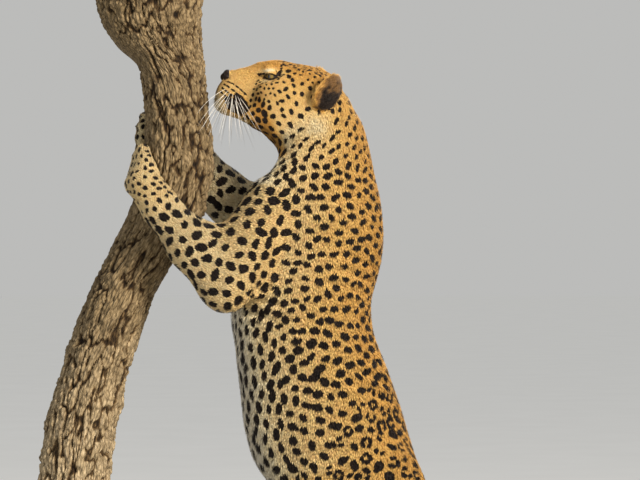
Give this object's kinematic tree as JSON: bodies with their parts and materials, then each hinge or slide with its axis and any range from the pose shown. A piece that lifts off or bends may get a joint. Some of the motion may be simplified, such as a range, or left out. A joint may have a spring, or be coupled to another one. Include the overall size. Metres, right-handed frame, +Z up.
{
  "type": "leopard",
  "caption": "Life-size leopard rearing on its hind legs with both forepaws round a cut length of tree trunk, held on a flat display base with short rods.",
  "frame": {"origin": "middle of the underside of the display base", "axes": "+Z up, -X the way the leopard faces, -Y its left side"},
  "size_m": [1.16, 0.62, 1.5935],
  "materials": {
    "coat": "short tawny fur with near-black spots",
    "coat_pale": "pale fur with near-black spots",
    "nose_skin": "damp dark skin",
    "eye": "wet and clear over an amber iris",
    "claw": "polished horn",
    "bark": "rough fissured bark",
    "base_board": "dark satin lacquer",
    "rod_steel": "brushed"
  },
  "bodies": {
    "root": {"belly": "coat_pale", "chest": "coat", "ear_left": "coat", "ear_right": "coat", "eye_left": "eye", "eye_right": "eye", "fore_left_claw_1": "claw", "fore_left_claw_2": "claw", "fore_left_claw_3": "claw", "fore_left_claw_4": "claw", "fore_right_claw_1": "claw", "fore_right_claw_2": "claw", "fore_right_claw_3": "claw", "fore_right_claw_4": "claw", "forearm_left": "coat_pale", "forearm_right": "coat_pale", "forepaw_left": "coat_pale", "forepaw_right": "coat_pale", "head": "coat", "hind_foot_left": "coat", "hind_foot_right": "coat", "hind_left_claw_1": "claw", "hind_left_claw_2": "claw", "hind_left_claw_3": "claw", "hind_left_claw_4": "claw", "hind_right_claw_1": "claw", "hind_right_claw_2": "claw", "hind_right_claw_3": "claw", "hind_right_claw_4": "claw", "hips": "coat", "lower_jaw": "coat_pale", "neck": "coat", "nose": "nose_skin", "perch_trunk": "bark", "shank_left": "coat", "shank_right": "coat", "stand_base": "base_board", "stand_rod_1": "rod_steel", "stand_rod_2": "rod_steel", "tail_base": "coat", "tail_middle": "coat", "tail_tip": "coat", "thigh_left": "coat", "thigh_right": "coat", "upper_arm_left": "coat_pale", "upper_arm_right": "coat_pale"}
  },
  "joints": []
}
